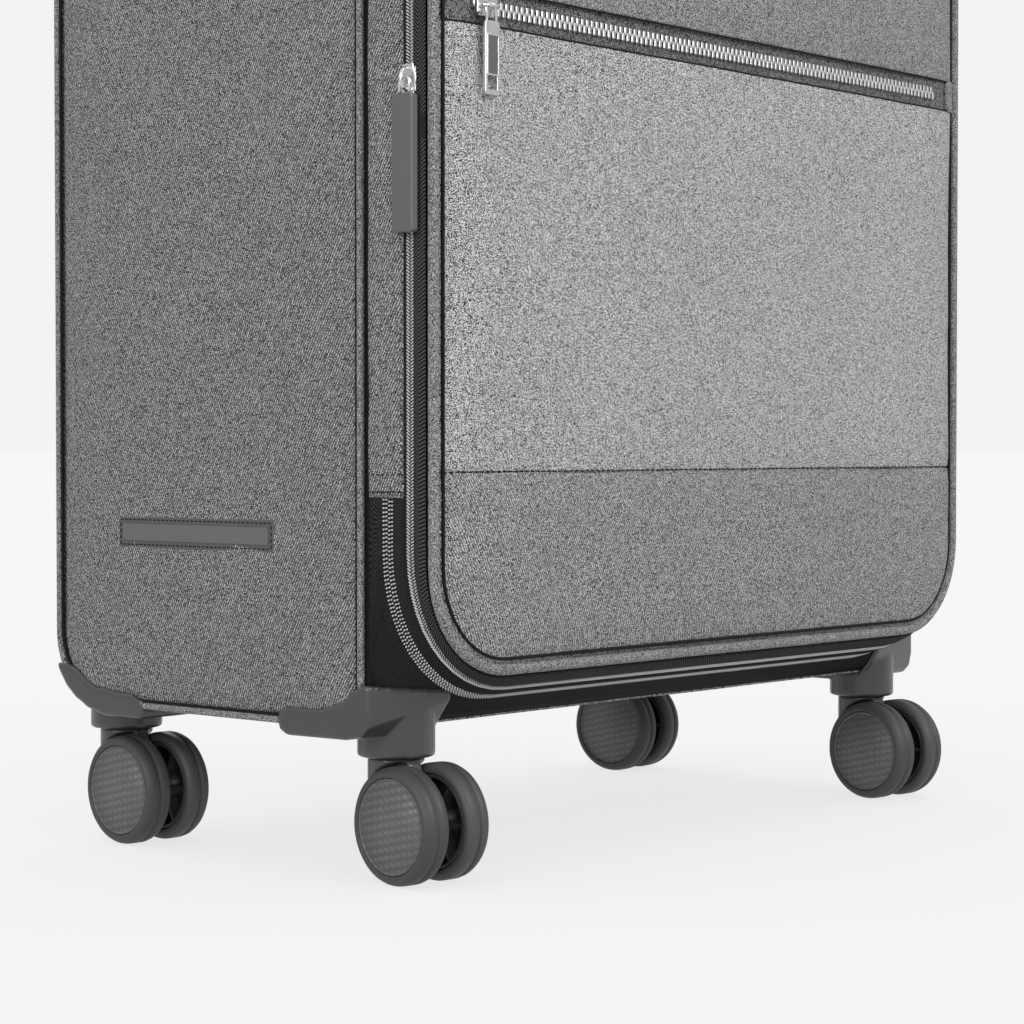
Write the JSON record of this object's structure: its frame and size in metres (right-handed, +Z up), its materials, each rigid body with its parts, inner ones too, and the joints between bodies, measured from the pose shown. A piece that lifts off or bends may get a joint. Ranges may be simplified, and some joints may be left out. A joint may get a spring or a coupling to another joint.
{
  "type": "softside upright suitcase",
  "caption": "Cabin-size softside upright suitcase with zip-round lid, expander, front pocket, telescopic handle and swivelling twin-wheel casters.",
  "frame": {"origin": "on the ground, at the bottom centre of the whole suitcase's bounding box", "axes": "+X to the right seen from the front (the side with the carry handle), -Y out of the front pocket panel, +Z up"},
  "size_m": [0.4176, 0.2336, 0.5495],
  "materials": {
    "body_fabric": "mid-grey melange twill",
    "front_fabric": "pale two-tone melange",
    "dark_fabric": "charcoal twill",
    "lining": "plain woven polyester lining",
    "zip_tape": "black woven tape with nylon coil",
    "satin_plastic": "satin moulded grey",
    "wheel_plastic": "satin, overmoulded tread",
    "soft_rubber": "satin soft-touch",
    "steel": "satin nickel plated",
    "aluminium": "satin anodised"
  },
  "bodies": {
    "case_body": {"side_panel_left": "body_fabric", "side_panel_right": "body_fabric", "back_panel": "body_fabric", "bottom_panel": "dark_fabric", "top_panel": "body_fabric", "front_rim": "dark_fabric", "main_zip": "zip_tape", "side_plaque": "soft_rubber", "inner_board": "lining", "wheel_housing_front_left": "satin_plastic", "wheel_housing_front_right": "satin_plastic", "wheel_housing_rear_left": "satin_plastic", "wheel_housing_rear_right": "satin_plastic", "handle_tube_outer_left": "aluminium", "handle_tube_outer_right": "aluminium", "handle_base": "wheel_plastic", "handle_tray": "satin_plastic", "top_carry_anchor_a": "satin_plastic", "top_carry_anchor_b": "satin_plastic", "side_carry_anchor_a": "satin_plastic", "side_carry_anchor_b": "satin_plastic", "hinge_strip": "dark_fabric"},
    "lid": {"lid_frame": "dark_fabric", "expander_zip": "zip_tape", "expander_gusset": "lining"},
    "lid_front": {"lid_panel": "front_fabric", "pocket_zip": "steel"},
    "handle_middle": {"handle_tube_middle_left": "aluminium", "handle_tube_middle_right": "aluminium"},
    "handle_top": {"handle_tube_inner_left": "aluminium", "handle_tube_inner_right": "aluminium", "handle_grip": "soft_rubber"},
    "release_button": {"release_button": "satin_plastic"},
    "top_carry_handle": {"top_carry_handle": "soft_rubber"},
    "side_carry_handle": {"side_carry_handle": "soft_rubber"},
    "expander_slider": {"expander_slider": "steel"},
    "expander_pull": {"expander_pull": "soft_rubber"},
    "pocket_slider": {"pocket_slider": "steel"},
    "pocket_pull": {"pocket_pull": "steel"},
    "main_left_slider": {"main_left_slider": "steel"},
    "main_left_pull": {"main_left_pull": "soft_rubber"},
    "main_right_slider": {"main_right_slider": "steel"},
    "main_right_pull": {"main_right_pull": "soft_rubber"},
    "caster_front_left": {"caster_fork_front_left": "satin_plastic", "axle_front_left": "steel"},
    "wheel_front_left_left": {"wheel_front_left_left": "wheel_plastic"},
    "wheel_front_left_right": {"wheel_front_left_right": "wheel_plastic"},
    "caster_front_right": {"caster_fork_front_right": "satin_plastic", "axle_front_right": "steel"},
    "wheel_front_right_left": {"wheel_front_right_left": "wheel_plastic"},
    "wheel_front_right_right": {"wheel_front_right_right": "wheel_plastic"},
    "caster_rear_left": {"caster_fork_rear_left": "satin_plastic", "axle_rear_left": "steel"},
    "wheel_rear_left_left": {"wheel_rear_left_left": "wheel_plastic"},
    "wheel_rear_left_right": {"wheel_rear_left_right": "wheel_plastic"},
    "caster_rear_right": {"caster_fork_rear_right": "satin_plastic", "axle_rear_right": "steel"},
    "wheel_rear_right_left": {"wheel_rear_right_left": "wheel_plastic"},
    "wheel_rear_right_right": {"wheel_rear_right_right": "wheel_plastic"}
  },
  "joints": [
    {"name": "lid_hinge", "type": "hinge", "parent": "case_body", "child": "lid", "pos_m": [-0.2047, -0.08575, 0.2965], "axis": [0, 0, -1], "range_deg": [0, 90], "deforming": ["hinge_strip"]},
    {"name": "expander_slide", "type": "slide", "parent": "lid", "child": "lid_front", "axis": [0, -1, 0], "range_m": [0, 0.035], "deforming": ["expander_gusset"]},
    {"name": "handle_stage_1", "type": "slide", "parent": "case_body", "child": "handle_middle", "axis": [0, 0, 1], "range_m": [0, 0.235]},
    {"name": "handle_stage_2", "type": "slide", "parent": "handle_middle", "child": "handle_top", "axis": [0, 0, 1], "range_m": [0, 0.235]},
    {"name": "button_press", "type": "slide", "parent": "handle_top", "child": "release_button", "axis": [0, 0, -1], "range_m": [0, 0.003], "stiffness_N_per_m": 400},
    {"name": "top_carry_lift", "type": "slide", "parent": "case_body", "child": "top_carry_handle", "axis": [0, 0, 1], "range_m": [0, 0.012], "stiffness_N_per_m": 300},
    {"name": "side_carry_lift", "type": "slide", "parent": "case_body", "child": "side_carry_handle", "axis": [1, 0, 0], "range_m": [0, 0.012], "stiffness_N_per_m": 300},
    {"name": "expander_slider_travel", "type": "slide", "parent": "lid", "child": "expander_slider", "axis": [0, 0, 1], "range_m": [-0.1395, 0.1305]},
    {"name": "expander_pull_swing", "type": "hinge", "parent": "expander_slider", "child": "expander_pull", "pos_m": [-0.2062, -0.09785, 0.3183], "axis": [0, 1, 0], "range_deg": [0, 60]},
    {"name": "pocket_slider_travel", "type": "slide", "parent": "lid_front", "child": "pocket_slider", "axis": [1, 0, 0], "range_m": [0, 0.32]},
    {"name": "pocket_pull_swing", "type": "hinge", "parent": "pocket_slider", "child": "pocket_pull", "pos_m": [-0.1737, -0.11415, 0.3488], "axis": [-1, 0, 0], "range_deg": [0, 120]},
    {"name": "main_left_slider_travel", "type": "slide", "parent": "case_body", "child": "main_left_slider", "axis": [-1, 0, 0], "range_m": [0, 0.12]},
    {"name": "main_left_pull_swing", "type": "hinge", "parent": "main_left_slider", "child": "main_left_pull", "pos_m": [-0.0179, -0.08685, 0.52414], "axis": [0, 0.9594, 0.2822], "range_deg": [0, 90]},
    {"name": "main_right_slider_travel", "type": "slide", "parent": "case_body", "child": "main_right_slider", "axis": [1, 0, 0], "range_m": [0, 0.12]},
    {"name": "main_right_pull_swing", "type": "hinge", "parent": "main_right_slider", "child": "main_right_pull", "pos_m": [0.0025, -0.08685, 0.52414], "axis": [0, -0.9594, -0.2822], "range_deg": [0, 90]},
    {"name": "swivel_front_left", "type": "hinge", "parent": "case_body", "child": "caster_front_left", "pos_m": [-0.1787, -0.06675, 0.056], "axis": [0, 0, 1], "continuous": true},
    {"name": "spin_front_left_left", "type": "hinge", "parent": "caster_front_left", "child": "wheel_front_left_left", "pos_m": [-0.18032, -0.08217, 0.024], "axis": [0.9945, -0.1045, 0], "continuous": true},
    {"name": "spin_front_left_right", "type": "hinge", "parent": "caster_front_left", "child": "wheel_front_left_right", "pos_m": [-0.18032, -0.08217, 0.024], "axis": [0.9945, -0.1045, 0], "continuous": true},
    {"name": "swivel_front_right", "type": "hinge", "parent": "case_body", "child": "caster_front_right", "pos_m": [0.1633, -0.06675, 0.056], "axis": [0, 0, 1], "continuous": true},
    {"name": "spin_front_right_left", "type": "hinge", "parent": "caster_front_right", "child": "wheel_front_right_left", "pos_m": [0.16152, -0.08215, 0.024], "axis": [0.9934, -0.1149, 0], "continuous": true},
    {"name": "spin_front_right_right", "type": "hinge", "parent": "caster_front_right", "child": "wheel_front_right_right", "pos_m": [0.16152, -0.08215, 0.024], "axis": [0.9934, -0.1149, 0], "continuous": true},
    {"name": "swivel_rear_left", "type": "hinge", "parent": "case_body", "child": "caster_rear_left", "pos_m": [-0.1787, 0.10125, 0.056], "axis": [0, 0, 1], "continuous": true},
    {"name": "spin_rear_left_left", "type": "hinge", "parent": "caster_rear_left", "child": "wheel_rear_left_left", "pos_m": [-0.17962, 0.08578, 0.024], "axis": [0.9982, -0.0593, 0], "continuous": true},
    {"name": "spin_rear_left_right", "type": "hinge", "parent": "caster_rear_left", "child": "wheel_rear_left_right", "pos_m": [-0.17962, 0.08578, 0.024], "axis": [0.9982, -0.0593, 0], "continuous": true},
    {"name": "swivel_rear_right", "type": "hinge", "parent": "case_body", "child": "caster_rear_right", "pos_m": [0.1633, 0.10125, 0.056], "axis": [0, 0, 1], "continuous": true},
    {"name": "spin_rear_right_left", "type": "hinge", "parent": "caster_rear_right", "child": "wheel_rear_right_left", "pos_m": [0.16392, 0.08576, 0.024], "axis": [0.9992, 0.0401, 0], "continuous": true},
    {"name": "spin_rear_right_right", "type": "hinge", "parent": "caster_rear_right", "child": "wheel_rear_right_right", "pos_m": [0.16392, 0.08576, 0.024], "axis": [0.9992, 0.0401, 0], "continuous": true}
  ]
}
